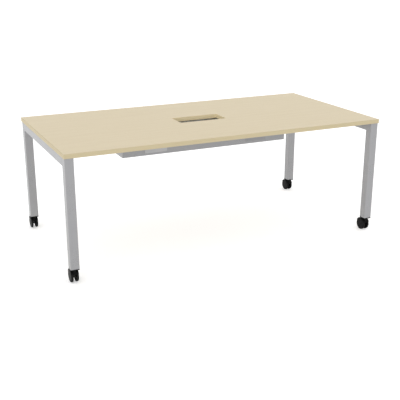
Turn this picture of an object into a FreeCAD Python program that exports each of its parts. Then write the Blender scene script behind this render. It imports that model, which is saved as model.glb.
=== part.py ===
import FreeCAD, Part
import math
import os

# Mobile meeting table: an edged board on a bolted tube frame with four twin-wheel casters,
# a cable cut-out in the middle of the board and a folded cable tray beneath it.
# Millimetres. X runs along the table, Y across it with the front at -Y, and Z is up from the floor.

# Table top
TOP_LENGTH = 2000.0
TOP_WIDTH = 1000.0
TOP_THICKNESS = 25.0
TABLE_HEIGHT = 735.0
EDGE_BAND = 2.0
EDGE_ARRIS = 1.0
CUTOUT_LENGTH = 308.0
CUTOUT_WIDTH = 144.0
CUTOUT_RADIUS = 8.0
CUTOUT_LINING = 1.0

# Legs and end beams, all of one square tube
TUBE = 50.0
TUBE_WALL = 2.0
TUBE_RADIUS = 3.0
FRAME_INSET = 4.0

# Long rails between the end beams, with a welded plate at each end
RAIL_WIDTH = 25.0
RAIL_DEPTH = 40.0
RAIL_WALL = 1.5
RAIL_RADIUS = 2.5
RAIL_SPACING = 430.0
PLATE_WIDTH = 70.0
PLATE_HEIGHT = 46.0
PLATE_THICKNESS = 4.0

# Rail bolts and the square nuts welded inside the end beams
BOLT_RADIUS = 4.0
BOLT_LENGTH = 16.0
BOLT_HEAD_FLATS = 13.0
BOLT_HEAD_HEIGHT = 5.5
BOLT_SPACING = 48.0
NUT_SIDE = 14.0
NUT_HEIGHT = 6.5
BOLT_HOLE_CLEARANCE = 0.3
THREAD_CLEARANCE = 0.05

# Angle brackets that carry the board, and the wood screws
BRACKET_WIDTH = 30.0
BRACKET_REACH = 25.0
BRACKET_DROP = 22.0
BRACKET_THICKNESS = 3.0
BRACKET_BEND = 2.0
BRACKET_HOLE_REACH = 16.0
BEAM_BRACKETS = 2
BEAM_BRACKET_INSET = 96.0
RAIL_BRACKETS = 3
RAIL_BRACKET_INSET = 142.0
SCREW_RADIUS = 2.0
SCREW_LENGTH = 16.0
SCREW_HEAD_RADIUS = 4.2
SCREW_HEAD_HEIGHT = 2.4
SCREW_HEAD_CROWN = 1.0
SCREW_HOLE_CLEARANCE = 0.3
PILOT_CLEARANCE = 0.05
PILOT_SPARE_DEPTH = 1.0

# Cable tray, folded from sheet, with cover plates clipped into windows in its long walls
TRAY_LENGTH = 1100.0
TRAY_WIDTH = 240.0
TRAY_DEPTH = 141.0
TRAY_SHEET = 1.5
TRAY_BEND = 2.0
TRAY_FLANGE = 20.0
TRAY_END_RETURN = 15.0
TRAY_END_GAP = 2.0
TRAY_SCREWS = 4
TRAY_SCREW_INSET = 50.0
COVER_INSET = 210.0
COVER_LENGTH = 142.0
COVER_HEIGHT = 86.0
COVER_SILL = 14.0
COVER_THICKNESS = 2.0
COVER_CORNER = 4.0
COVER_EDGE = 0.8
COVER_LIP = 5.0
COVER_COLLAR = 8.0
COVER_WALL = 1.5
COVER_CLEARANCE = 0.2
CATCH_SPACING = 90.0
CATCH_LENGTH = 12.0
CATCH_HEIGHT = 1.2
CATCH_DEPTH = 4.0

# Moulded inserts in the leg ends
CAP_FLANGE = 3.0
PLUG_HEIGHT = 36.0
PLUG_WALL = 2.0
PLUG_CLEARANCE = 0.3
PLUG_BOSS_RADIUS = 8.5

# Twin-wheel casters
CASTER_HEIGHT = 85.0
CASTER_TRAIL = 21.0
WHEEL_DIAMETER = 75.0
WHEEL_WIDTH = 14.0
WHEEL_SPACING = 32.0
WHEEL_RIM = 4.5
WHEEL_FACE = 3.0
WHEEL_DOME = 1.5
WHEEL_CAP_RADIUS = 14.0
WHEEL_EDGE = 2.5
WHEEL_RIBS = 6
WHEEL_RIB = 2.0
WHEEL_RIB_SETBACK = 2.0
HUB_RADIUS = 8.0
HOOD_WIDTH = 44.0
HOOD_WALL = 2.0
HOOD_WHEEL_GAP = 1.0
HOOD_EDGE = 1.0
HOOD_END_ANGLE = 25.0
WEB_THICKNESS = 13.0
WEB_HUB_RADIUS = 13.5
HOOD_BOSS_RADIUS = 10.0
AXLE_RADIUS = 3.0
AXLE_ENGAGEMENT = 10.5
STEM_PIN_RADIUS = 4.0
STEM_PIN_LENGTH = 31.5
STEM_SHANK_RADIUS = 5.0
STEM_SHANK_LENGTH = 31.0
COLLAR_RADIUS = 9.0
COLLAR_THICKNESS = 1.5
SNAP_DEPTH = 0.5
SNAP_WIDTH = 2.2
SNAP_HEIGHT = 6.0
RUNNING_GAP = 0.3
RUNNING_FIT = 0.05
PRESS_FIT = 0.02
BORE_END_GAP = 1.0

# Places that follow from the sizes above
UNDERSIDE = TABLE_HEIGHT - TOP_THICKNESS
LEG_X = TOP_LENGTH / 2 - FRAME_INSET - TUBE / 2
LEG_Y = TOP_WIDTH / 2 - FRAME_INSET - TUBE / 2
LEG_BOTTOM = CASTER_HEIGHT + CAP_FLANGE
BEAM_INNER_X = LEG_X - TUBE / 2
BEAM_LENGTH = 2 * LEG_Y - TUBE
BEAM_Z = UNDERSIDE - TUBE / 2
RAIL_Y = RAIL_SPACING / 2
RAIL_LENGTH = 2 * (BEAM_INNER_X - PLATE_THICKNESS)
TRAY_BOTTOM = UNDERSIDE - TRAY_DEPTH
TRAY_FRONT = -TRAY_WIDTH / 2
TRAY_INSIDE = TRAY_FRONT + TRAY_SHEET
COVER_X = TRAY_LENGTH / 2 - COVER_INSET
COVER_BOTTOM = TRAY_BOTTOM + COVER_SILL
COVER_TOP = COVER_BOTTOM + COVER_HEIGHT
COVER_FRONT = TRAY_FRONT - COVER_THICKNESS
WHEEL_RADIUS = WHEEL_DIAMETER / 2
HOOD_INNER_RADIUS = WHEEL_RADIUS + HOOD_WHEEL_GAP
HOOD_OUTER_RADIUS = HOOD_INNER_RADIUS + HOOD_WALL
COLLAR_BOTTOM = CASTER_HEIGHT - COLLAR_THICKNESS
HOOD_TOP = COLLAR_BOTTOM - RUNNING_GAP
STEM_BOTTOM = COLLAR_BOTTOM - STEM_PIN_LENGTH
STEM_TOP = CASTER_HEIGHT + STEM_SHANK_LENGTH
SNAP_Z = STEM_BOTTOM + SNAP_HEIGHT
AXLE_CENTRE = FreeCAD.Vector(0, CASTER_TRAIL, WHEEL_RADIUS)

ORIGIN = FreeCAD.Vector(0, 0, 0)
X_AXIS = FreeCAD.Vector(1, 0, 0)
Y_AXIS = FreeCAD.Vector(0, 1, 0)
Z_AXIS = FreeCAD.Vector(0, 0, 1)
CORNERS = {"front_left": (-1, -1), "front_right": (1, -1), "rear_left": (-1, 1), "rear_right": (1, 1)}

parts = {}


def moved(shape, x, y, z):
    """A copy of a shape, shifted."""
    return shape.translated(FreeCAD.Vector(x, y, z))


def block(x_range, y_range, z_range):
    """A box between two limits on each axis."""
    corner = FreeCAD.Vector(x_range[0], y_range[0], z_range[0])
    return Part.makeBox(x_range[1] - x_range[0], y_range[1] - y_range[0], z_range[1] - z_range[0], corner)


def edges_along(shape, direction, places):
    """The straight edges along a direction whose middles, seen along it, lie at one of the places."""
    found = []
    for edge in shape.Edges:
        if not isinstance(edge.Curve, Part.Line):
            continue
        if edge.Curve.Direction.cross(direction).Length > 1e-6:
            continue
        middle = edge.CenterOfMass
        flat = middle - direction * middle.dot(direction)
        if any((flat - place).Length < 1e-4 for place in places):
            found.append(edge)
    return found


def bar(width, depth, length, radius):
    """A bar along Z, standing on the origin, with its four long edges rounded."""
    solid = block((-width / 2, width / 2), (-depth / 2, depth / 2), (0, length))
    if radius <= 0:
        return solid
    places = [FreeCAD.Vector(sx * width / 2, sy * depth / 2, 0) for sx in (-1, 1) for sy in (-1, 1)]
    return solid.makeFillet(radius, edges_along(solid, Z_AXIS, places))


def tube(width, depth, length, radius, wall):
    """A rectangular tube along Z, standing on the origin."""
    core = bar(width - 2 * wall, depth - 2 * wall, length, radius - wall)
    return bar(width, depth, length, radius).cut(core)


def laid_along_x(shape):
    """A copy turned so that its Z axis lies along X."""
    return shape.rotated(ORIGIN, Y_AXIS, 90)


def laid_along_y(shape):
    """A copy turned so that its Z axis lies along Y."""
    return shape.rotated(ORIGIN, X_AXIS, -90)


def outline(points):
    """A flat face inside straight edges."""
    return Part.Face(Part.makePolygon(points + points[:1]))


def turned_about_z(radius_height):
    """A solid of revolution about Z from (radius, height) points."""
    points = [FreeCAD.Vector(radius, 0, height) for radius, height in radius_height]
    return outline(points).revolve(ORIGIN, Z_AXIS, 360)


def evenly(count, length, inset):
    """Places spread evenly along a length centred on zero, the outer ones set in from its ends."""
    return [(length - 2 * inset) * (index / (count - 1) - 0.5) for index in range(count)]


def around(radius, angle):
    """The point at an angle, from +Y towards +Z, on a circle about the caster's axle."""
    turn = math.radians(angle)
    return AXLE_CENTRE + FreeCAD.Vector(0, radius * math.cos(turn), radius * math.sin(turn))


# Board fixings: every place where a screw enters the board from below

beam_bracket_y = evenly(BEAM_BRACKETS, BEAM_LENGTH, BEAM_BRACKET_INSET)
rail_bracket_x = evenly(RAIL_BRACKETS, RAIL_LENGTH, RAIL_BRACKET_INSET)
tray_screw_x = evenly(TRAY_SCREWS, TRAY_LENGTH, TRAY_SCREW_INSET)
tray_screw_y = TRAY_WIDTH / 2 + TRAY_FLANGE / 2


def angle_bracket():
    """A bent angle: its upright leg lies on the plane y = 0, its top leg points to +Y at z = 0."""
    half = BRACKET_WIDTH / 2
    top_leg = block((-half, half), (0, BRACKET_REACH), (-BRACKET_THICKNESS, 0))
    upright = block((-half, half), (0, BRACKET_THICKNESS), (-BRACKET_DROP, 0))
    angle = top_leg.fuse(upright).removeSplitter()
    inside = FreeCAD.Vector(0, BRACKET_THICKNESS, -BRACKET_THICKNESS)
    angle = angle.makeFillet(BRACKET_BEND, edges_along(angle, X_AXIS, [inside]))
    angle = angle.makeFillet(BRACKET_BEND + BRACKET_THICKNESS, edges_along(angle, X_AXIS, [ORIGIN]))
    hole = Part.makeCylinder(SCREW_RADIUS + SCREW_HOLE_CLEARANCE, BRACKET_THICKNESS,
                             FreeCAD.Vector(0, BRACKET_HOLE_REACH, -BRACKET_THICKNESS))
    return angle.cut(hole)


def wood_screw():
    """A pan-head screw pointing up, with the seat of its head at z = 0."""
    return turned_about_z([
        (0, -SCREW_HEAD_HEIGHT),
        (SCREW_HEAD_RADIUS - SCREW_HEAD_CROWN, -SCREW_HEAD_HEIGHT),
        (SCREW_HEAD_RADIUS, SCREW_HEAD_CROWN - SCREW_HEAD_HEIGHT),
        (SCREW_HEAD_RADIUS, 0),
        (SCREW_RADIUS, 0),
        (SCREW_RADIUS, SCREW_LENGTH),
        (0, SCREW_LENGTH),
    ])


def bracket_places():
    """Each bracket's turn about Z and the point on the tube face where it sits."""
    places = []
    for side in (-1, 1):
        for y in beam_bracket_y:
            places.append((90 * side, side * BEAM_INNER_X, y))
        for x in rail_bracket_x:
            places.append((90 - 90 * side, x, side * (RAIL_Y + RAIL_WIDTH / 2)))
    return places


def fixed_brackets():
    """All brackets and their screws, as two lists."""
    brackets = []
    screws = []
    for turn, x, y in bracket_places():
        bracket = angle_bracket().rotated(ORIGIN, Z_AXIS, turn)
        brackets.append(moved(bracket, x, y, UNDERSIDE))
        screw = moved(wood_screw(), 0, BRACKET_HOLE_REACH, -BRACKET_THICKNESS)
        screws.append(moved(screw.rotated(ORIGIN, Z_AXIS, turn), x, y, UNDERSIDE))
    return brackets, screws


def tray_screws():
    """The screws of the tray's two flanges."""
    seat = UNDERSIDE - TRAY_SHEET
    return [moved(wood_screw(), x, side * tray_screw_y, seat) for side in (-1, 1) for x in tray_screw_x]


def pilot_holes(screws):
    """A blind hole in the board for each screw, on the screw's own axis."""
    holes = []
    depth = SCREW_LENGTH + PILOT_SPARE_DEPTH - TRAY_SHEET
    for screw in screws:
        centre = screw.CenterOfMass
        start = FreeCAD.Vector(centre.x, centre.y, UNDERSIDE)
        holes.append(Part.makeCylinder(SCREW_RADIUS + PILOT_CLEARANCE, depth, start))
    return holes


bracket_solids, bracket_screw_solids = fixed_brackets()
tray_screw_solids = tray_screws()
parts["top_brackets"] = Part.makeCompound(bracket_solids)
parts["top_bracket_screws"] = Part.makeCompound(bracket_screw_solids)
parts["tray_screws"] = Part.makeCompound(tray_screw_solids)


# Table top

def top_board():
    """The board inside its edge bands, with the cable cut-out and the pilot holes."""
    half_length = TOP_LENGTH / 2 - EDGE_BAND
    half_width = TOP_WIDTH / 2 - EDGE_BAND
    board = block((-half_length, half_length), (-half_width, half_width), (UNDERSIDE, TABLE_HEIGHT))
    cutout = bar(CUTOUT_LENGTH + 2 * CUTOUT_LINING, CUTOUT_WIDTH + 2 * CUTOUT_LINING, TOP_THICKNESS,
                 CUTOUT_RADIUS + CUTOUT_LINING)
    board = board.cut(moved(cutout, 0, 0, UNDERSIDE))
    return board.cut(pilot_holes(bracket_screw_solids + tray_screw_solids))


def long_edge_band(side):
    """The band along the front (-1) or rear (1) edge, over the full length of the top."""
    half_length = TOP_LENGTH / 2
    outer_y = side * TOP_WIDTH / 2
    inner_y = side * (TOP_WIDTH / 2 - EDGE_BAND)
    y_range = (min(outer_y, inner_y), max(outer_y, inner_y))
    band = block((-half_length, half_length), y_range, (UNDERSIDE, TABLE_HEIGHT))
    rims = [FreeCAD.Vector(0, outer_y, z) for z in (UNDERSIDE, TABLE_HEIGHT)]
    corners = [FreeCAD.Vector(x, outer_y, 0) for x in (-half_length, half_length)]
    ends = [FreeCAD.Vector(x, 0, z) for x in (-half_length, half_length) for z in (UNDERSIDE, TABLE_HEIGHT)]
    edges = edges_along(band, X_AXIS, rims)
    edges += edges_along(band, Z_AXIS, corners)
    edges += edges_along(band, Y_AXIS, ends)
    return band.makeFillet(EDGE_ARRIS, edges)


def short_edge_band(side):
    """The band along the left (-1) or right (1) edge, between the two long bands."""
    half_width = TOP_WIDTH / 2 - EDGE_BAND
    outer_x = side * TOP_LENGTH / 2
    inner_x = side * (TOP_LENGTH / 2 - EDGE_BAND)
    x_range = (min(outer_x, inner_x), max(outer_x, inner_x))
    band = block(x_range, (-half_width, half_width), (UNDERSIDE, TABLE_HEIGHT))
    rims = [FreeCAD.Vector(outer_x, 0, z) for z in (UNDERSIDE, TABLE_HEIGHT)]
    return band.makeFillet(EDGE_ARRIS, edges_along(band, Y_AXIS, rims))


def cutout_edge_band():
    """The thin band that lines the wall of the cable cut-out."""
    lining = tube(CUTOUT_LENGTH + 2 * CUTOUT_LINING, CUTOUT_WIDTH + 2 * CUTOUT_LINING, TOP_THICKNESS,
                  CUTOUT_RADIUS + CUTOUT_LINING, CUTOUT_LINING)
    return moved(lining, 0, 0, UNDERSIDE)


parts["top_board"] = top_board()
parts["edge_band_front"] = long_edge_band(-1)
parts["edge_band_rear"] = long_edge_band(1)
parts["edge_band_left"] = short_edge_band(-1)
parts["edge_band_right"] = short_edge_band(1)
parts["cutout_edge_band"] = cutout_edge_band()


# Steel frame

bolt_places = [side * RAIL_Y + offset for side in (-1, 1) for offset in (-BOLT_SPACING / 2, BOLT_SPACING / 2)]


def bolt_hole(x, y, depth):
    """A clearance hole for a rail bolt, along +X from x."""
    start = FreeCAD.Vector(x, y, BEAM_Z)
    return Part.makeCylinder(BOLT_RADIUS + BOLT_HOLE_CLEARANCE, depth, start, X_AXIS)


def leg():
    """A leg tube about its own axis, from its lower end to the underside of the board."""
    return moved(tube(TUBE, TUBE, UNDERSIDE - LEG_BOTTOM, TUBE_RADIUS, TUBE_WALL), 0, 0, LEG_BOTTOM)


def end_beam():
    """The right end beam, between its two legs, with bolt holes in its inner wall."""
    beam = laid_along_y(tube(TUBE, TUBE, BEAM_LENGTH, TUBE_RADIUS, TUBE_WALL))
    beam = moved(beam, LEG_X, -BEAM_LENGTH / 2, BEAM_Z)
    return beam.cut([bolt_hole(BEAM_INNER_X, y, TUBE_WALL) for y in bolt_places])


def rail():
    """A long rail about y = 0, its top on the underside of the board."""
    profile = tube(RAIL_DEPTH, RAIL_WIDTH, RAIL_LENGTH, RAIL_RADIUS, RAIL_WALL)
    return moved(laid_along_x(profile), -RAIL_LENGTH / 2, 0, UNDERSIDE - RAIL_DEPTH / 2)


def rail_end_plate(rail_side):
    """The plate between a rail's right end and the right end beam."""
    centre_y = rail_side * RAIL_Y
    plate = block((BEAM_INNER_X - PLATE_THICKNESS, BEAM_INNER_X),
                  (centre_y - PLATE_WIDTH / 2, centre_y + PLATE_WIDTH / 2),
                  (BEAM_Z - PLATE_HEIGHT / 2, BEAM_Z + PLATE_HEIGHT / 2))
    holes = [bolt_hole(BEAM_INNER_X - PLATE_THICKNESS, centre_y + offset, PLATE_THICKNESS)
             for offset in (-BOLT_SPACING / 2, BOLT_SPACING / 2)]
    return plate.cut(holes)


def rail_bolt():
    """A hexagon-head bolt along +X, with the seat of its head at x = 0."""
    corner_radius = BOLT_HEAD_FLATS / math.sqrt(3)
    corners = []
    for index in range(6):
        turn = math.radians(60 * index)
        corners.append(FreeCAD.Vector(0, corner_radius * math.cos(turn), corner_radius * math.sin(turn)))
    head = outline(corners).extrude(FreeCAD.Vector(-BOLT_HEAD_HEIGHT, 0, 0))
    return head.fuse(Part.makeCylinder(BOLT_RADIUS, BOLT_LENGTH, ORIGIN, X_AXIS))


def weld_nut():
    """A square nut along +X, its welded face at x = 0."""
    nut = block((0, NUT_HEIGHT), (-NUT_SIDE / 2, NUT_SIDE / 2), (-NUT_SIDE / 2, NUT_SIDE / 2))
    return nut.cut(Part.makeCylinder(BOLT_RADIUS + THREAD_CLEARANCE, NUT_HEIGHT, ORIGIN, X_AXIS))


def on_both_ends(shape):
    """A piece of the right end and its mirror image at the left end."""
    return {"right": shape, "left": shape.mirror(ORIGIN, X_AXIS)}


for corner, (side_x, side_y) in CORNERS.items():
    parts["leg_" + corner] = moved(leg(), side_x * LEG_X, side_y * LEG_Y, 0)

for side, beam in on_both_ends(end_beam()).items():
    parts["end_beam_" + side] = beam

for place, rail_side in {"front": -1, "rear": 1}.items():
    parts["long_rail_" + place] = moved(rail(), 0, rail_side * RAIL_Y, 0)
    for side, plate in on_both_ends(rail_end_plate(rail_side)).items():
        parts["rail_end_plate_" + place + "_" + side] = plate

bolt_solids = []
nut_solids = []
for bolt_y in bolt_places:
    bolt = moved(rail_bolt(), BEAM_INNER_X - PLATE_THICKNESS, bolt_y, BEAM_Z)
    nut = moved(weld_nut(), BEAM_INNER_X + TUBE_WALL, bolt_y, BEAM_Z)
    bolt_solids += on_both_ends(bolt).values()
    nut_solids += on_both_ends(nut).values()
parts["rail_bolts"] = Part.makeCompound(bolt_solids)
parts["beam_weld_nuts"] = Part.makeCompound(nut_solids)


# Cable tray

def folded_channel():
    """The tray's sheet: floor, two upright walls and two flanges that turn outwards under the board."""
    half_length = TRAY_LENGTH / 2
    half_width = TRAY_WIDTH / 2
    x_range = (-half_length, half_length)
    inner = half_width - TRAY_SHEET
    reach = half_width + TRAY_FLANGE
    floor_top = TRAY_BOTTOM + TRAY_SHEET
    flange_bottom = UNDERSIDE - TRAY_SHEET
    channel = block(x_range, (-half_width, half_width), (TRAY_BOTTOM, UNDERSIDE))
    channel = channel.fuse(block(x_range, (-reach, reach), (flange_bottom, UNDERSIDE)))
    channel = channel.cut(block(x_range, (-inner, inner), (floor_top, UNDERSIDE))).removeSplitter()
    outside = [FreeCAD.Vector(0, s * half_width, TRAY_BOTTOM) for s in (-1, 1)]
    outside += [FreeCAD.Vector(0, s * inner, UNDERSIDE) for s in (-1, 1)]
    inside = [FreeCAD.Vector(0, s * inner, floor_top) for s in (-1, 1)]
    inside += [FreeCAD.Vector(0, s * half_width, flange_bottom) for s in (-1, 1)]
    channel = channel.makeFillet(TRAY_BEND + TRAY_SHEET, edges_along(channel, X_AXIS, outside))
    return channel.makeFillet(TRAY_BEND, edges_along(channel, X_AXIS, inside))


def cover_block(margin, y_range):
    """A block behind the front right cover plate, smaller than it by a margin all round."""
    half_length = COVER_LENGTH / 2 - margin
    x_range = (COVER_X - half_length, COVER_X + half_length)
    return block(x_range, y_range, (COVER_BOTTOM + margin, COVER_TOP - margin))


def cover_face():
    """The flat plate on the outside of the tray's wall, with rounded corners and a soft front edge."""
    plate = cover_block(0, (COVER_FRONT, TRAY_FRONT))
    corners = [FreeCAD.Vector(COVER_X + side * COVER_LENGTH / 2, 0, z)
               for side in (-1, 1) for z in (COVER_BOTTOM, COVER_TOP)]
    plate = plate.makeFillet(COVER_CORNER, edges_along(plate, Y_AXIS, corners))
    rim = [edge for edge in plate.Edges if edge.BoundBox.YMax < TRAY_FRONT - COVER_THICKNESS / 2]
    return plate.makeFillet(COVER_EDGE, rim)


def cover_collar():
    """The upright wall behind the plate that passes through the window in the tray's wall."""
    y_range = (TRAY_FRONT, TRAY_FRONT + COVER_COLLAR)
    outside = cover_block(COVER_LIP + COVER_CLEARANCE, y_range)
    return outside.cut(cover_block(COVER_LIP + COVER_CLEARANCE + COVER_WALL, y_range))


def cover_catches():
    """Wedges above and below the collar that snap behind the tray's wall."""
    collar_bottom = COVER_BOTTOM + COVER_LIP + COVER_CLEARANCE
    section = outline([
        FreeCAD.Vector(-CATCH_LENGTH / 2, TRAY_INSIDE, collar_bottom),
        FreeCAD.Vector(-CATCH_LENGTH / 2, TRAY_INSIDE, collar_bottom - CATCH_HEIGHT),
        FreeCAD.Vector(-CATCH_LENGTH / 2, TRAY_INSIDE + CATCH_DEPTH, collar_bottom),
    ])
    wedge = section.extrude(FreeCAD.Vector(CATCH_LENGTH, 0, 0))
    lower = [moved(wedge, COVER_X + side * CATCH_SPACING / 2, 0, 0) for side in (-1, 1)]
    middle = FreeCAD.Vector(0, 0, (COVER_BOTTOM + COVER_TOP) / 2)
    return lower + [catch.mirror(middle, Z_AXIS) for catch in lower]


def tray_cover():
    """The front right cover: a plate over the window, and a collar with catches that holds it there."""
    return cover_face().fuse([cover_collar()] + cover_catches()).removeSplitter()


def in_four_quarters(shape):
    """A shape in the front right quarter and its mirror images in the other three."""
    right = [shape, shape.mirror(ORIGIN, Y_AXIS)]
    return right + [quarter.mirror(ORIGIN, X_AXIS) for quarter in right]


def tray_pan():
    """The folded sheet with its screw holes and the windows of its covers."""
    holes = [Part.makeCylinder(SCREW_RADIUS + SCREW_HOLE_CLEARANCE, TRAY_SHEET,
                               FreeCAD.Vector(x, side * tray_screw_y, UNDERSIDE - TRAY_SHEET))
             for side in (-1, 1) for x in tray_screw_x]
    windows = in_four_quarters(cover_block(COVER_LIP, (TRAY_FRONT, TRAY_INSIDE)))
    return folded_channel().cut(holes + windows)


def end_shell(depth, inset, radius):
    """A block in the tray's right end with rounded bends, set in from the sheet's inner faces."""
    outer_x = TRAY_LENGTH / 2 - inset
    half_width = TRAY_WIDTH / 2 - TRAY_SHEET - inset
    bottom = TRAY_BOTTOM + TRAY_SHEET + inset
    shell = block((outer_x - depth, outer_x), (-half_width, half_width), (bottom, UNDERSIDE - TRAY_END_GAP))
    uprights = [FreeCAD.Vector(outer_x, s * half_width, 0) for s in (-1, 1)]
    lower = [FreeCAD.Vector(0, s * half_width, bottom) for s in (-1, 1)]
    foot = [FreeCAD.Vector(outer_x, 0, bottom)]
    edges = edges_along(shell, Z_AXIS, uprights) + edges_along(shell, X_AXIS, lower)
    return shell.makeFillet(radius, edges + edges_along(shell, Y_AXIS, foot))


def tray_end():
    """The right end plate, with returns folded back along the floor and the walls of the tray."""
    outside = end_shell(TRAY_END_RETURN, 0, TRAY_BEND + TRAY_SHEET)
    inside = end_shell(TRAY_END_RETURN, TRAY_SHEET, TRAY_BEND)
    return outside.cut(inside)


parts["tray_pan"] = tray_pan()
for side, end in on_both_ends(tray_end()).items():
    parts["tray_end_" + side] = end

front_cover = tray_cover()
for place, cover in {"front": front_cover, "rear": front_cover.mirror(ORIGIN, Y_AXIS)}.items():
    for side, piece in on_both_ends(cover).items():
        parts["tray_cover_" + place + "_" + side] = piece


# Leg inserts and casters, built about the upright axis of a leg

def leg_insert():
    """A flange under the leg and a ribbed plug inside it, with the blind socket of the caster stem."""
    plug_side = TUBE - 2 * TUBE_WALL - 2 * PLUG_CLEARANCE
    corner = TUBE_RADIUS - TUBE_WALL
    insert = bar(TUBE, TUBE, CAP_FLANGE, TUBE_RADIUS)
    shell = tube(plug_side, plug_side, PLUG_HEIGHT, corner, PLUG_WALL)
    boss = Part.makeCylinder(PLUG_BOSS_RADIUS, PLUG_HEIGHT)
    half = plug_side / 2 - PLUG_WALL
    rib_x = block((-half, half), (-PLUG_WALL / 2, PLUG_WALL / 2), (0, PLUG_HEIGHT))
    rib_y = block((-PLUG_WALL / 2, PLUG_WALL / 2), (-half, half), (0, PLUG_HEIGHT))
    plug = shell.fuse([boss, rib_x, rib_y])
    insert = moved(insert, 0, 0, CASTER_HEIGHT).fuse(moved(plug, 0, 0, LEG_BOTTOM)).removeSplitter()
    socket_depth = STEM_SHANK_LENGTH + BORE_END_GAP
    socket_start = FreeCAD.Vector(0, 0, CASTER_HEIGHT)
    return insert.cut(Part.makeCylinder(STEM_SHANK_RADIUS + THREAD_CLEARANCE, socket_depth, socket_start))


def caster_stem():
    """The upright pin: a shank screwed into the insert, a collar and a pin with a snap groove."""
    snap_seat = STEM_PIN_RADIUS - SNAP_DEPTH - RUNNING_FIT
    snap_half = SNAP_WIDTH / 2 + RUNNING_GAP
    return turned_about_z([
        (0, STEM_BOTTOM),
        (STEM_PIN_RADIUS, STEM_BOTTOM),
        (STEM_PIN_RADIUS, SNAP_Z - snap_half),
        (snap_seat, SNAP_Z - snap_half),
        (snap_seat, SNAP_Z + snap_half),
        (STEM_PIN_RADIUS, SNAP_Z + snap_half),
        (STEM_PIN_RADIUS, COLLAR_BOTTOM),
        (COLLAR_RADIUS, COLLAR_BOTTOM),
        (COLLAR_RADIUS, CASTER_HEIGHT),
        (STEM_SHANK_RADIUS, CASTER_HEIGHT),
        (STEM_SHANK_RADIUS, STEM_TOP),
        (0, STEM_TOP),
    ])


def hood_web():
    """The flat body between the wheels: the hood's arc above, drawn in to a round boss about the axle."""
    tangent = HOOD_END_ANGLE - math.degrees(math.acos(WEB_HUB_RADIUS / HOOD_OUTER_RADIUS))
    front = around(HOOD_OUTER_RADIUS, 180 - HOOD_END_ANGLE)
    rear = around(HOOD_OUTER_RADIUS, HOOD_END_ANGLE)
    lower_front = around(WEB_HUB_RADIUS, 180 - tangent)
    lower_rear = around(WEB_HUB_RADIUS, tangent)
    crown = Part.Arc(rear, around(HOOD_OUTER_RADIUS, 90), front)
    belly = Part.Arc(lower_front, around(WEB_HUB_RADIUS, 270), lower_rear)
    flanks = [Part.LineSegment(front, lower_front), Part.LineSegment(lower_rear, rear)]
    edges = [crown.toShape(), flanks[0].toShape(), belly.toShape(), flanks[1].toShape()]
    face = Part.Face(Part.Wire(edges))
    web = face.extrude(FreeCAD.Vector(WEB_THICKNESS, 0, 0))
    return moved(web, -WEB_THICKNESS / 2, 0, 0)


def hood_fender():
    """The arched cover over both wheels, with bevelled outer rims."""
    half = HOOD_WIDTH / 2
    arc_start = around(HOOD_INNER_RADIUS, HOOD_END_ANGLE)
    along = around(1, HOOD_END_ANGLE) - AXLE_CENTRE
    section = outline([
        arc_start + FreeCAD.Vector(-half, 0, 0),
        arc_start + FreeCAD.Vector(half, 0, 0),
        arc_start + FreeCAD.Vector(half, 0, 0) + along * (HOOD_WALL - HOOD_EDGE),
        arc_start + FreeCAD.Vector(half - HOOD_EDGE, 0, 0) + along * HOOD_WALL,
        arc_start + FreeCAD.Vector(HOOD_EDGE - half, 0, 0) + along * HOOD_WALL,
        arc_start + FreeCAD.Vector(-half, 0, 0) + along * (HOOD_WALL - HOOD_EDGE),
    ])
    return section.revolve(AXLE_CENTRE, X_AXIS, 180 - 2 * HOOD_END_ANGLE)


def caster_hood():
    """The moulded body: web, fender and swivel boss, with the stem's snap-in socket and the axle bore."""
    hood_start = AXLE_CENTRE - X_AXIS * (HOOD_WIDTH / 2)
    wheel_space = Part.makeCylinder(HOOD_INNER_RADIUS, HOOD_WIDTH, hood_start, X_AXIS)
    boss = Part.makeCylinder(HOOD_BOSS_RADIUS, HOOD_TOP - WHEEL_RADIUS, FreeCAD.Vector(0, 0, WHEEL_RADIUS))
    hood = hood_web().fuse([hood_fender(), boss.cut(wheel_space)]).removeSplitter()
    socket = STEM_PIN_RADIUS + RUNNING_FIT
    bead = STEM_PIN_RADIUS - SNAP_DEPTH
    hood = hood.cut(turned_about_z([
        (0, STEM_BOTTOM - BORE_END_GAP),
        (socket, STEM_BOTTOM - BORE_END_GAP),
        (socket, SNAP_Z - SNAP_WIDTH / 2),
        (bead, SNAP_Z - SNAP_WIDTH / 2),
        (bead, SNAP_Z + SNAP_WIDTH / 2),
        (socket, SNAP_Z + SNAP_WIDTH / 2),
        (socket, HOOD_TOP),
        (0, HOOD_TOP),
    ]))
    web_start = AXLE_CENTRE - X_AXIS * (WEB_THICKNESS / 2)
    return hood.cut(Part.makeCylinder(AXLE_RADIUS + PRESS_FIT, WEB_THICKNESS, web_start, X_AXIS))


def caster_axle():
    """The steel axle, pressed into the web and standing out into both wheels."""
    half = WEB_THICKNESS / 2 + AXLE_ENGAGEMENT
    return Part.makeCylinder(AXLE_RADIUS, 2 * half, AXLE_CENTRE - X_AXIS * half, X_AXIS)


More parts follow.
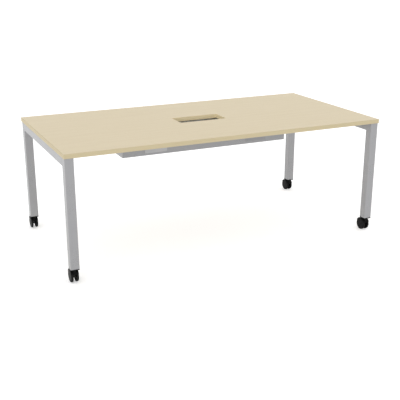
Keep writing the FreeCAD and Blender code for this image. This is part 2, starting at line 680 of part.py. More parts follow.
def caster_wheel():
    """The right wheel: a domed face, a rim, a hub that runs on the axle, and ribs behind the face."""
    inner_x = WHEEL_SPACING / 2 - WHEEL_WIDTH / 2
    outer_x = WHEEL_SPACING / 2 + WHEEL_WIDTH / 2
    rim_x = outer_x - WHEEL_DOME
    hollow_x = rim_x - WHEEL_FACE
    hub_x = WEB_THICKNESS / 2 + RUNNING_GAP
    bore_end_x = WEB_THICKNESS / 2 + AXLE_ENGAGEMENT + RUNNING_GAP
    bore = AXLE_RADIUS + RUNNING_FIT
    rim_inside = WHEEL_RADIUS - WHEEL_RIM
    profile = [
        (outer_x, 0),
        (outer_x, WHEEL_CAP_RADIUS),
        (rim_x, WHEEL_RADIUS - WHEEL_EDGE),
        (rim_x - WHEEL_EDGE, WHEEL_RADIUS),
        (inner_x + WHEEL_EDGE / 2, WHEEL_RADIUS),
        (inner_x, WHEEL_RADIUS - WHEEL_EDGE / 2),
        (inner_x, rim_inside),
        (hollow_x, rim_inside),
        (hollow_x, HUB_RADIUS),
        (hub_x, HUB_RADIUS),
        (hub_x, bore),
        (bore_end_x, bore),
        (bore_end_x, 0),
    ]
    section = outline([AXLE_CENTRE + FreeCAD.Vector(x, 0, radius) for x, radius in profile])
    wheel = section.revolve(AXLE_CENTRE, X_AXIS, 360)
    rib = block((inner_x + WHEEL_RIB_SETBACK, hollow_x), (-WHEEL_RIB / 2, WHEEL_RIB / 2),
                ((AXLE_RADIUS + HUB_RADIUS) / 2, (rim_inside + WHEEL_RADIUS) / 2))
    ribs = [rib.rotated(ORIGIN, X_AXIS, 360 * index / WHEEL_RIBS).translated(AXLE_CENTRE)
            for index in range(WHEEL_RIBS)]
    return wheel.fuse(ribs).removeSplitter()


insert = leg_insert()
stem = caster_stem()
hood = caster_hood()
axle = caster_axle()
wheels = on_both_ends(caster_wheel())
for corner, (side_x, side_y) in CORNERS.items():
    place = (side_x * LEG_X, side_y * LEG_Y, 0)
    parts["leg_insert_" + corner] = moved(insert, *place)
    parts["caster_stem_" + corner] = moved(stem, *place)
    parts["caster_hood_" + corner] = moved(hood, *place)
    parts["caster_axle_" + corner] = moved(axle, *place)
    for side, wheel in wheels.items():
        parts["caster_wheel_" + corner + "_" + side] = moved(wheel, *place)


os.makedirs("parts", exist_ok=True)
for name, shape in parts.items():
    shape.exportStep("parts/" + name + ".step")
print(len(parts), "nodes,", sum(len(shape.Solids) for shape in parts.values()), "solids")
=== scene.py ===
"""Dresses the mobile meeting table.

It gives every CAD node its finish, and adds rounded caster wheels, rims under the leg caps, weld beads and a
plain stage.
"""

import math

import bpy
import numpy as np
from bpy.props import FloatProperty, FloatVectorProperty, IntProperty, PointerProperty
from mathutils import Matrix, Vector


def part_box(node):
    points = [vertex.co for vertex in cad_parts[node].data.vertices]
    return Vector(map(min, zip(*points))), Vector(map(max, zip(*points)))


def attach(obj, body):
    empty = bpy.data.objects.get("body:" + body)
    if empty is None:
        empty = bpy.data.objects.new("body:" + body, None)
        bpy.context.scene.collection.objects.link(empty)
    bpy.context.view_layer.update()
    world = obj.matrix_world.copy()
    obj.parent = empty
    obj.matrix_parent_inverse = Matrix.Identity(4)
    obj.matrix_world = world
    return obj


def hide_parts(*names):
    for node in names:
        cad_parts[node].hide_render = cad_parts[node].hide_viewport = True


bl_info = {
    "name": "Meeting table finishes",
    "version": (1, 0, 0),
    "blender": (4, 5, 0),
    "location": "3D View > Sidebar > Table",
    "description": "Finishes, caster wheels, cap rims, weld beads and stage of a mobile meeting table",
    "category": "Object",
}

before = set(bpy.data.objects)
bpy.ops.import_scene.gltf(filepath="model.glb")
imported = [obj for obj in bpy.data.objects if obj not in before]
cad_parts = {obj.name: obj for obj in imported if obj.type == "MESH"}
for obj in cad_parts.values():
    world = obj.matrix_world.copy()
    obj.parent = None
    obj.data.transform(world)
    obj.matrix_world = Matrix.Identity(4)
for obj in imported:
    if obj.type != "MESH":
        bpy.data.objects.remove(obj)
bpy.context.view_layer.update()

CORNERS = ("front_left", "front_right", "rear_left", "rear_right")
OUTWARD = {"left": -1, "right": 1}
EDGING_NODES = ("edge_band_front", "edge_band_rear", "edge_band_left", "edge_band_right")
TRAY_NODES = ("tray_pan", "tray_end_left", "tray_end_right")
# Two covers take a lighter copy of the tray's silver as painted light, and two take a darker copy as painted
# shade.
PAINTED_LIT_COVER_NODES = ("tray_cover_front_left", "tray_cover_rear_right")
PAINTED_SHADED_COVER_NODES = ("tray_cover_front_right", "tray_cover_rear_left")
FASTENER_NODES = ("rail_bolts", "beam_weld_nuts", "top_bracket_screws", "tray_screws")
FRAME_NODES = (
    *("leg_" + corner for corner in CORNERS),
    *("rail_end_plate_" + corner for corner in CORNERS),
    "end_beam_left",
    "end_beam_right",
    "long_rail_front",
    "long_rail_rear",
    "top_brackets",
)

MILLIMETRE = 0.001
X_AXIS = 0
Y_AXIS = 1
SHARP_ANGLE = math.radians(40)
WHITE = (1.0, 1.0, 1.0, 1.0)
SENSOR_WIDTH = 36.0

# Grains per metre of the orange peel in the powder coat
FRAME_PEEL = 620.0
TRAY_PEEL = 480.0


def srgb(red, green, blue):
    """Screen values from 0 to 255 as the linear colour that a shader takes."""
    screen = np.array([red, green, blue]) / 255
    curved = ((screen + 0.055) / 1.055) ** 2.4
    return tuple(np.where(screen > 0.04045, curved, screen / 12.92).tolist())


def colour(name, description, default):
    """A colour property whose default is given in screen values."""
    return FloatVectorProperty(name=name, description=description, subtype="COLOR", min=0, max=1,
                               default=srgb(*default))


def share(name, description, default):
    """A property between 0 and 1."""
    return FloatProperty(name=name, description=description, subtype="FACTOR", min=0, max=1, default=default)


def length(name, description, default):
    """A length property in metres."""
    return FloatProperty(name=name, description=description, subtype="DISTANCE", unit="LENGTH", min=0,
                         default=default, precision=4)


def rotation(name, description, degrees):
    """An angle property whose default is given in degrees."""
    return FloatProperty(name=name, description=description, subtype="ANGLE", unit="ROTATION",
                         default=math.radians(degrees))


class TopFinish(bpy.types.PropertyGroup):
    """Maple faced board and its edging."""

    laminate: colour("Laminate", "Main tone of the maple face", (223, 208, 175))
    laminate_dark: colour("Laminate grain", "Darker tone of the grain lines", (209, 191, 154))
    laminate_roughness: share("Laminate roughness", "Mean roughness of the satin face", 0.42)
    edging: colour("Edging", "Main tone of the edge bands", (206, 193, 160))
    edging_dark: colour("Edging streaks", "Darker tone of the streaks in the edge bands", (193, 177, 139))
    # The cut-out's band takes the edging's maple made lighter, as painted light on the cut-out's shaded
    # walls.
    lining_painted_light: colour("Lining", "Main tone of the band that lines the cut-out", (235, 220, 182))
    lining_streaks_painted_light: colour("Lining streaks", "Darker tone of the streaks in the lining", (222, 203, 160))


class FrameFinish(bpy.types.PropertyGroup):
    """Painted steel, bare steel and welds."""

    paint: colour("Paint", "Silver powder coat of the frame", (156, 156, 158))
    tray_paint: colour("Tray paint", "Silver powder coat of the cable tray", (154, 154, 156))
    # Both cover colours are one silver coat: the lighter one is painted light and the darker one is painted
    # shade.
    painted_lit_cover: colour("Light covers", "Lighter silver of two of the tray's covers", (176, 176, 177))
    painted_shaded_cover: colour("Dark covers", "Darker silver of the other two covers", (146, 146, 148))
    paint_roughness: share("Paint roughness", "Mean roughness of the powder coat", 0.36)
    # The zinc inside the tray is a real finish with its spangle, and its brightness is painted light on the
    # inside that the board shades.
    galvanised_and_painted_light: colour("Galvanised", "Bright zinc on the faces inside the tray", (238, 238, 236))
    zinc: colour("Zinc", "Zinc plated bolts, screws, stems and axles", (198, 197, 190))
    weld_width: length("Weld width", "Width of the weld beads", 4.4 * MILLIMETRE)
    weld_wave: share("Weld ripple", "Height of the ripples on the rail welds, over the bead's radius", 0.12)
    dressed_sink: length("Dressed sink", "Depth of the dressed beam welds beside the legs", 1.9 * MILLIMETRE)
    dressed_wave: share("Dressed ripple", "Ripples left on the beam welds, over the bead's radius", 0.02)


class CasterFinish(bpy.types.PropertyGroup):
    """Black moulded casters and leg inserts."""

    nylon: colour("Nylon", "Black moulded nylon of hoods, wheels and leg inserts", (15, 15, 16))
    dust: colour("Tread dust", "Grey that the treads pick up from the floor", (46, 45, 44))
    nylon_roughness: share("Nylon roughness", "Mean roughness of the mouldings", 0.4)
    shoulder: length("Tread shoulder", "Rounding between the tread and the outer face", 4.0 * MILLIMETRE)
    cap_rim: length("Cap rim", "How far the rim of each leg cap reaches below its flange", 2.8 * MILLIMETRE)
    segments: IntProperty(name="Wheel segments", description="Facets round each wheel", min=24, default=72)


class StageSetting(bpy.types.PropertyGroup):
    """Floor, light and camera."""

    sky: share("Sky", "Even light from all round", 0.88)
    lamp: FloatProperty(name="Lamp", description="Strength of the soft lamp in front", min=0, default=0.9)
    lamp_spread: rotation("Lamp spread", "Width of the lamp as the table sees it, for soft shadows", 40)
    lamp_tilt: rotation("Lamp tilt", "Lean of the lamp away from straight above", 78)
    lamp_turn: rotation("Lamp turn", "Turn of the lamp about the upright axis", -45)
    floor: colour("Floor", "Pale floor", (245, 245, 245))
    floor_glow: share("Floor glow", "White that the floor adds for the camera and in reflections", 0.4)
    camera_place: FloatVectorProperty(name="Camera place", description="Where the camera stands",
                                      subtype="TRANSLATION", unit="LENGTH",
                                      default=(-1.9208, -4.1094, 1.7181))
    camera_dip: rotation("Camera dip", "How far the camera looks down", 18.54)
    camera_turn: rotation("Camera turn", "Turn of the view about the upright axis", -25.13)
    focal_length: FloatProperty(name="Focal length", description="Lens of the camera in millimetres", min=1,
                                default=66.55)


class Socket:
    """A shader value that Python's operators extend with Math nodes."""

    def __init__(self, shader, socket):
        self.shader = shader
        self.socket = socket

    def maths(self, operation, first, second):
        """One Math node on two values."""
        return self.shader.node("ShaderNodeMath", {"operation": operation},
                                {"Value": first, "Value_001": second}, "Value")

    def __add__(self, other):
        return self.maths("ADD", self, other)

    def __radd__(self, other):
        return self.maths("ADD", other, self)

    def __sub__(self, other):
        return self.maths("SUBTRACT", self, other)

    def __rsub__(self, other):
        return self.maths("SUBTRACT", other, self)

    def __mul__(self, other):
        return self.maths("MULTIPLY", self, other)

    def __rmul__(self, other):
        return self.maths("MULTIPLY", other, self)

    def sine(self):
        """The sine of the value, in radians."""
        return self.maths("SINE", self, 0.0)

    def absolute(self):
        """The value without its sign."""
        return self.maths("ABSOLUTE", self, 0.0)

    def between(self, low, high):
        """0 up to low, 1 from high, and a smooth step from one to the other."""
        return self.shader.node("ShaderNodeMapRange", {"interpolation_type": "SMOOTHSTEP"},
                                {"Value": self, "From Min": low, "From Max": high}, "Result")


class Shader:
    """The nodes of one material or world."""

    def __init__(self, holder):
        holder.use_nodes = True
        self.holder = holder
        self.tree = holder.node_tree
        self.tree.nodes.clear()

    def node(self, kind, settings, sockets, result):
        """Adds a node, sets its settings, then values or links of its sockets, and gives one output."""
        made = self.tree.nodes.new(kind)
        for name, value in settings.items():
            setattr(made, name, value)
        inputs = {socket.identifier: socket for socket in made.inputs}
        for name, value in sockets.items():
            if isinstance(value, Socket):
                self.tree.links.new(value.socket, inputs[name])
            else:
                inputs[name].default_value = value
        outputs = {socket.identifier: socket for socket in made.outputs}
        return Socket(self, outputs[result])

    def place(self, stretch=(1.0, 1.0, 1.0)):
        """The point on the surface in metres, stretched along each axis."""
        point = self.node("ShaderNodeTexCoord", {}, {}, "Object")
        return self.node("ShaderNodeMapping", {}, {"Vector": point, "Scale": stretch}, "Vector")

    def along(self, axis):
        """The X, Y or Z of the point on the surface in metres."""
        return self.node("ShaderNodeSeparateXYZ", {}, {"Vector": self.place()}, axis)

    def noise(self, grains, detail, roughness=0.5):
        """Noise about 0.5, with the given grains per metre along each axis."""
        sockets = {"Vector": self.place(grains), "Scale": 1.0, "Detail": detail, "Roughness": roughness}
        return self.node("ShaderNodeTexNoise", {}, sockets, "Fac")

    def mix(self, factor, first, second):
        """The first colour where factor is 0 and the second where it is 1."""
        return self.node("ShaderNodeMix", {"data_type": "RGBA"},
                         {"Factor_Float": factor, "A_Color": first, "B_Color": second}, "Result_Color")

    def bump(self, relief, depth):
        """A normal that follows a relief between 0 and 1, depth metres deep."""
        sockets = {"Height": relief, "Strength": 1.0, "Distance": depth}
        return self.node("ShaderNodeBump", {}, sockets, "Normal")

    def surface(self, sockets):
        """A Principled surface at the material's output."""
        face = self.node("ShaderNodeBsdfPrincipled", {}, sockets, "BSDF")
        self.show(face, "ShaderNodeOutputMaterial")
        return self.holder

    def show(self, result, kind):
        """Links a shader to the output node of a material or world."""
        output = self.tree.nodes.new(kind)
        self.tree.links.new(result.socket, output.inputs["Surface"])


def opaque(rgb):
    """A colour property with full alpha, as a colour socket takes it."""
    return (*rgb, 1.0)


def new_shader(name):
    """The empty nodes of a new material."""
    return Shader(bpy.data.materials.new(name))


def maple_laminate(finish):
    """Satin maple print: broad growth figure, fine fibres along the table and short darker pores."""
    shader = new_shader("maple_laminate")
    drift = shader.noise((0.9, 5.0, 5.0), detail=3.0)
    radians_per_metre = 95.0
    wander = 26.0
    figure = 0.5 + 0.5 * (shader.along("Y") * radians_per_metre + drift * wander).sine()
    fibre = shader.noise((7.0, 420.0, 420.0), detail=3.0, roughness=0.65)
    pore = shader.noise((55.0, 1500.0, 1500.0), detail=1.0).between(0.66, 0.74)
    cloud = shader.noise((1.6, 3.0, 3.0), detail=2.0)
    grain = 0.1 * figure + 0.4 * fibre.between(0.3, 0.8) + 0.2 * cloud + 0.3 * pore
    tone = shader.mix(grain - 0.12, opaque(finish.laminate), opaque(finish.laminate_dark))
    return shader.surface({
        "Base Color": tone,
        "Roughness": finish.laminate_roughness + 0.1 * (fibre - 0.5) + 0.12 * pore,
        "Normal": shader.bump(fibre - 0.6 * pore, 0.05 * MILLIMETRE),
        "Specular IOR Level": 0.35,
    })


def maple_edging(name, main, dark):
    """Extruded maple edging: streaks that run along each band and change with height, with a satin skin."""
    shader = new_shader(name)
    streak = shader.noise((2.5, 2.5, 620.0), detail=3.0, roughness=0.6)
    band = shader.noise((1.2, 1.2, 120.0), detail=2.0)
    fleck = shader.noise((70.0, 70.0, 1800.0), detail=1.0).between(0.66, 0.75)
    grain = 0.7 * streak.between(0.28, 0.78) + 0.3 * band + 0.25 * fleck
    tone = shader.mix(grain - 0.1, opaque(main), opaque(dark))
    return shader.surface({
        "Base Color": tone,
        "Roughness": 0.5 + 0.12 * (streak - 0.5),
        "Normal": shader.bump(streak, 0.04 * MILLIMETRE),
        "Specular IOR Level": 0.2,
    })


def silver_coat(shader, finish, silver, peel_grains):
    """The sockets of a silver powder coat: bright flakes, a fine orange peel and dull scuffs low down."""
    flake = shader.noise((2600.0, 2600.0, 2600.0), detail=0.0).between(0.45, 0.75)
    peel = shader.noise((peel_grains, peel_grains, peel_grains), detail=2.0)
    cloud = shader.noise((6.0, 6.0, 6.0), detail=3.0)
    scuffed_up_to = 0.09
    clean_from = 0.3
    low = 1.0 - shader.along("Z").between(scuffed_up_to, clean_from)
    scuff = low * shader.noise((160.0, 160.0, 24.0), detail=4.0, roughness=0.7).between(0.56, 0.66)
    paint = np.array(silver)
    bright = opaque(np.minimum(1.0, paint * 1.12).tolist())
    dull = opaque((paint * 0.9).tolist())
    tone = shader.mix(0.35 * flake + 0.4 * cloud + 0.15, dull, bright)
    return {
        "Base Color": shader.mix(0.12 * scuff, tone, opaque((paint * 0.6).tolist())),
        "Metallic": 0.42 + 0.2 * flake - 0.1 * scuff,
        "Roughness": finish.paint_roughness - 0.08 * flake + 0.1 * (cloud - 0.5) + 0.15 * scuff,
        "Normal": shader.bump(peel, 0.12 * MILLIMETRE),
        "Coat Weight": 0.16,
        "Coat Roughness": 0.2,
    }


def silver_paint(finish, name, silver, peel_grains):
    """Silver powder coat all over."""
    shader = new_shader(name)
    return shader.surface(silver_coat(shader, finish, silver, peel_grains))


def tray_sheet(finish):
    """The tray's sheet: silver powder coat outside, and a bright zinc spangle on the faces inside the tray,
    made this bright as painted light where the board shades the inside.
    """
    shader = new_shader("silver_tray_painted_light_inside")
    sockets = silver_coat(shader, finish, finish.tray_paint, TRAY_PEEL)
    # A tray end fits inside the pan, so its box reaches from the pan's inner faces to its own outer face.
    # The finish changes within the thickness of the sheet, where it isn't seen.
    low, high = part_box("tray_end_right")
    from_inside = 0.4 * MILLIMETRE
    from_outside = 1.2 * MILLIMETRE
    step = 0.3 * MILLIMETRE
    end = high.x - from_outside
    wall = high.y + from_inside
    floor = low.z - from_inside
    inside = (
        (1.0 - shader.along("X").absolute().between(end, end + step))
        * (1.0 - shader.along("Y").absolute().between(wall, wall + step))
        * shader.along("Z").between(floor - step, floor)
    )
    spangles_per_metre = 130.0
    cells = {"Vector": shader.place(), "Scale": spangles_per_metre}
    spangle = shader.node("ShaderNodeTexVoronoi", {}, cells, "Color")
    facet = shader.node("ShaderNodeSeparateColor", {}, {"Color": spangle}, "Red")
    # The spangle is the sheet's own; the bright tone of the inside is painted light where the board shades
    # the tray.
    zinc = np.array(finish.galvanised_and_painted_light)
    dull = opaque((zinc * 0.92).tolist())
    bright = opaque(np.minimum(1.0, zinc * 1.06).tolist())
    bare = shader.mix(facet, dull, bright)
    sockets["Base Color"] = shader.mix(inside, sockets["Base Color"], bare)
    sockets["Roughness"] = sockets["Roughness"] + inside * (0.12 * facet - 0.02)
    return shader.surface(sockets)


def black_nylon(finish, name, worn_tread):
    """Moulded nylon: fine spark texture, faint flow marks, dust low down and, on wheels, a scuffed tread."""
    shader = new_shader(name)
    spark = shader.noise((1700.0, 1700.0, 1700.0), detail=2.0)
    flow = shader.noise((90.0, 90.0, 260.0), detail=3.0)
    dust = 0.22 * shader.noise((240.0, 240.0, 240.0), detail=4.0, roughness=0.65).between(0.45, 0.8)
    if worn_tread:
        tread = shader.node("ShaderNodeAttribute", {"attribute_name": "tread"}, {}, "Fac")
        scratch = shader.noise((900.0, 140.0, 140.0), detail=3.0, roughness=0.7)
        dust = dust + tread * scratch.between(0.35, 0.8)
    nylon = np.array(finish.nylon)
    tone = shader.mix(0.5 * flow, opaque((nylon * 0.8).tolist()), opaque((nylon * 1.5).tolist()))
    return shader.surface({
        "Base Color": shader.mix(dust, tone, opaque(finish.dust)),
        "Roughness": finish.nylon_roughness + 0.16 * (flow - 0.5) + 0.25 * dust,
        "Normal": shader.bump(spark, 0.06 * MILLIMETRE),
        "Specular IOR Level": 0.08,
    })


def zinc_steel(finish):
    """Bright zinc plate: cloudy tone, faint yellow passivate and turned marks in the roughness."""
    shader = new_shader("zinc_steel")
    cloud = shader.noise((220.0, 220.0, 220.0), detail=3.0)
    lathe_marks = shader.noise((400.0, 400.0, 3200.0), detail=2.0)
    passivate = np.array([0.92, 0.86, 0.7])
    warm = opaque((np.array(finish.zinc) * passivate).tolist())
    return shader.surface({
        "Base Color": shader.mix(cloud.between(0.4, 0.75), opaque(finish.zinc), warm),
        "Metallic": 1.0,
        "Roughness": 0.26 + 0.2 * lathe_marks + 0.08 * cloud,
        "Normal": shader.bump(lathe_marks, 0.02 * MILLIMETRE),
    })


def painted_weld(finish):
    """The frame's silver coat over a weld: rougher, with the grain of the bead showing through."""
    shader = new_shader("painted_weld")
    sockets = silver_coat(shader, finish, finish.paint, FRAME_PEEL)
    spatter = shader.noise((900.0, 900.0, 900.0), detail=3.0)
    sockets["Roughness"] = sockets["Roughness"] + 0.15 * spatter
    sockets["Normal"] = shader.bump(spatter, 0.1 * MILLIMETRE)
    return shader.surface(sockets)


def dress(material, nodes):
    """Puts one material on every slot of the named CAD nodes."""
    for name in nodes:
        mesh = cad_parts[name].data
        mesh.materials.clear()
        mesh.materials.append(material)


def new_piece(name, points, faces, material):
    """An object at the origin, with its place in its mesh and smooth faces between its sharp edges."""
    mesh = bpy.data.meshes.new(name)
    mesh.from_pydata(points.tolist(), [], faces)
    mesh.polygons.foreach_set("use_smooth", np.ones(len(mesh.polygons), bool))
    mesh.set_sharp_from_angle(angle=SHARP_ANGLE)
    mesh.materials.append(material)
    mesh.update()
    piece = bpy.data.objects.new(name, mesh)
    bpy.context.scene.collection.objects.link(piece)
    return piece


def rounded(corners, cuts, steps):
    """A broken line with its inner corners rounded.

    Each corner c becomes the quadratic arc (1-t)^2 a + 2t(1-t) c + t^2 b for t from 0 to 1, where a and b
    lie one cut before and after c on its two runs. The first and last points stay as they are.
    """
    corners = np.array(corners)
    middle = corners[1:-1]
    before = corners[:-2] - middle
    after = corners[2:] - middle
    cuts = np.array(cuts)[:, None]
    start = middle + before / np.linalg.norm(before, axis=1)[:, None] * cuts
    end = middle + after / np.linalg.norm(after, axis=1)[:, None] * cuts
    t = np.linspace(0, 1, steps)[None, :, None]
    arcs = (1 - t) ** 2 * start[:, None] + 2 * t * (1 - t) * middle[:, None] + t ** 2 * end[:, None]
    return np.concatenate([corners[:1], arcs.reshape(-1, 2), corners[-1:]])


def evenly(line, spacing):
    """Points about one spacing apart along a broken line, and their distances from its start."""
    run = np.concatenate([[0], np.cumsum(np.linalg.norm(np.diff(line, axis=0), axis=1))])
    distance = np.linspace(0, run[-1], round(run[-1] / spacing))
    first = np.interp(distance, run, line[:, 0])
    second = np.interp(distance, run, line[:, 1])
    return np.stack([first, second], axis=-1), distance


def closed_skin(rings, start, end):
    """Points and faces of a skin over a row of rings, closed by a fan to a start and an end point."""
    rows, around = rings.shape[:2]
    points = np.concatenate([rings.reshape(-1, 3), [start, end]])
    index = np.arange(rows * around).reshape(rows, around)
    following = np.roll(index, -1, axis=1)
    quads = np.stack([index[:-1], following[:-1], following[1:], index[1:]], axis=-1).reshape(-1, 4)
    first = np.stack([np.full(around, index.size), following[0], index[0]], axis=-1)
    last = np.stack([np.full(around, index.size + 1), index[-1], following[-1]], axis=-1)
    return points, quads.tolist() + first.tolist() + last.tolist()


def turned(profile, centre, outward, segments):
    """A closed solid of revolution about the axle through centre.

    A profile point (along, radius) at angle a lies at x = outward * along, y = outward * radius * sin a and
    z = radius * cos a from the centre. The first and last points are on the axle and close the two poles.
    """
    angle = np.arange(segments) * 2 * math.pi / segments
    along = profile[:, 0, None]
    radius = profile[:, 1, None]
    rings = centre + np.stack([
        outward * along + 0 * angle,
        outward * radius * np.sin(angle),
        radius * np.cos(angle),
    ], axis=-1)
    return closed_skin(rings[1:-1], rings[0, 0], rings[-1, 0])


def wheel_ribs(along_range, radius_range, half_thickness, centre, outward, count, first_point):
    """Flat ribs that stand round the hub like spokes.

    Each rib is a box in (along, sideways, radius), turned about the axle by its share of a full turn.
    """
    sides = (-half_thickness, half_thickness)
    grid = np.meshgrid(along_range, sides, radius_range, indexing="ij")
    corner = np.stack(grid, axis=-1).reshape(1, 8, 3)
    angle = (np.arange(count) * 2 * math.pi / count)[:, None]
    sideways = corner[..., 1]
    radius = corner[..., 2]
    points = np.stack([
        outward * corner[..., 0] + 0 * angle,
        outward * (radius * np.sin(angle) + sideways * np.cos(angle)),
        radius * np.cos(angle) - sideways * np.sin(angle),
    ], axis=-1).reshape(-1, 3) + centre
    box = np.array([[0, 1, 3, 2], [4, 6, 7, 5], [0, 4, 5, 1], [2, 3, 7, 6], [0, 2, 6, 4], [1, 5, 7, 3]])
    faces = box[None] + 8 * np.arange(count)[:, None, None] + first_point
    return points, faces.reshape(-1, 4).tolist()


def caster_wheel(corner, side, finish, material):
    """One wheel over its CAD node: a domed face with a cap, a rounded tread, a hollow back, a hub and ribs.

    The profile is a broken line in (along, radius), turned about the axle. Each inner corner is rounded by
    the third value of its row. Along counts outwards from the hub's end between the wheels. The tread
    attribute goes from 0 on the faces to 1 on the tread.
    """
    node = f"caster_wheel_{corner}_{side}"
    outward = OUTWARD[side]
    low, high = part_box(node)
    outer = high.x - low.x
    radius = (high.z - low.z) / 2
    origin = np.array([low.x if outward > 0 else high.x, (low.y + high.y) / 2, (low.z + high.z) / 2])

    # The face: a flat cap, a groove round it and a dome out to the tread
    cap = 14.0 * MILLIMETRE
    cap_slope = 0.4 * MILLIMETRE
    cap_rounding = 0.35 * MILLIMETRE
    groove = outer - 0.7 * MILLIMETRE
    groove_end = cap + 1.2 * MILLIMETRE
    groove_rounding = 0.2 * MILLIMETRE
    lip = outer - 0.2 * MILLIMETRE
    lip_start = cap + 1.7 * MILLIMETRE
    lip_rounding = 0.3 * MILLIMETRE
    bend = outer - 0.5 * MILLIMETRE
    bend_radius = 0.72 * radius
    bend_rounding = 4.0 * MILLIMETRE
    dome = outer - 1.5 * MILLIMETRE

    # The back: a hollow between rim and hub, and the blind bore of the axle
    inner = 2.2 * MILLIMETRE
    inner_rounding = 1.6 * MILLIMETRE
    rim = radius - 4.5 * MILLIMETRE
    hollow = dome - 3.0 * MILLIMETRE
    hub = 8.0 * MILLIMETRE
    edge_rounding = 0.5 * MILLIMETRE
    fillet = 0.6 * MILLIMETRE
    bore = 3.05 * MILLIMETRE
    bore_end = 10.5 * MILLIMETRE
    bore_rounding = 0.2 * MILLIMETRE
    bore_fillet = 0.3 * MILLIMETRE

    rows = np.array([
        (outer, 0, 0),
        (outer, cap - cap_slope, cap_rounding),
        (groove, cap, groove_rounding),
        (groove, groove_end, groove_rounding),
        (lip, lip_start, lip_rounding),
        (bend, bend_radius, bend_rounding),
        (dome, radius, finish.shoulder),
        (inner, radius, inner_rounding),
        (inner, rim, edge_rounding),
        (hollow, rim, fillet),
        (hollow, hub, fillet),
        (0, hub, edge_rounding),
        (0, bore, bore_rounding),
        (bore_end, bore, bore_fillet),
        (bore_end, 0, 0),
    ])
    profile = rounded(rows[:, :2], rows[1:-1, 2], steps=5)
    points, faces = turned(profile, origin, outward, finish.segments)

    # Ribs, sunk a little into face, hub and rim
    rib_along = (inner + 2.0 * MILLIMETRE, hollow + 1.0 * MILLIMETRE)
    rib_reach = (5.5 * MILLIMETRE, rim + 2.0 * MILLIMETRE)
    rib_half = 1.0 * MILLIMETRE
    rib_count = 6
    ribs, rib_faces = wheel_ribs(rib_along, rib_reach, rib_half, origin, outward, rib_count, len(points))
    wheel = new_piece(f"wheel_{corner}_{side}", np.concatenate([points, ribs]), faces + rib_faces, material)

    tread_start = 0.965 * radius
    tread_full = 0.995 * radius
    distance = np.hypot(points[:, 1] - origin[1], points[:, 2] - origin[2])
    worn = np.clip((distance - tread_start) / (tread_full - tread_start), 0, 1)
    tread = np.concatenate([worn, np.zeros(len(ribs))])
    wheel.data.attributes.new("tread", "FLOAT", "POINT").data.foreach_set("value", tread.astype(np.float32))
    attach(wheel, f"wheel_{corner}_{side}")
    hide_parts(node)


def leg_cap_rim(corner, depth, material):
    """The rim that deepens the head of a leg insert, with a round recess over the caster's boss.

    The section goes down the outside, in under the rim and up the recess, with rounded lower edges. A
    section point at the share s of the way in lies at (1-s) p + s q, where p runs round the insert's rounded
    square and q is the point of the recess's circle in the same direction.
    """
    corner_rounding = 3.0 * MILLIMETRE
    recess_radius = 13.0 * MILLIMETRE
    edge_rounding = 0.6 * MILLIMETRE
    spacing = 1.0 * MILLIMETRE
    low, high = np.array(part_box("leg_insert_" + corner))
    half = (high[0] - low[0]) / 2
    square = [(half, 0), (half, half), (-half, half), (-half, -half), (half, -half), (half, 0)]
    loop, _ = evenly(rounded(square, [corner_rounding] * 4, steps=9), spacing)
    outline = loop[:-1]
    recess = recess_radius * outline / np.linalg.norm(outline, axis=1)[:, None]
    top = low[2]
    bottom = top - depth
    width = half - recess_radius
    section = rounded([(0, top), (0, bottom), (width, bottom), (width, top)], [edge_rounding] * 2, steps=5)
    inward = (section[:, 0] / width)[:, None, None]
    level = ((low + high) / 2)[:2] + outline + inward * (recess - outline)
    height = np.broadcast_to(section[:, 1, None, None], (*level.shape[:2], 1))
    points = np.concatenate([level, height], axis=-1).reshape(-1, 3)
    index = np.arange(len(points)).reshape(level.shape[:2])
    inner = np.roll(index, -1, axis=0)
    faces = np.stack([index, inner, np.roll(inner, -1, axis=1), np.roll(index, -1, axis=1)], axis=-1)
    rim = new_piece("leg_cap_rim_" + corner, points, faces.reshape(-1, 4).tolist(), material)
    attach(rim, "table")


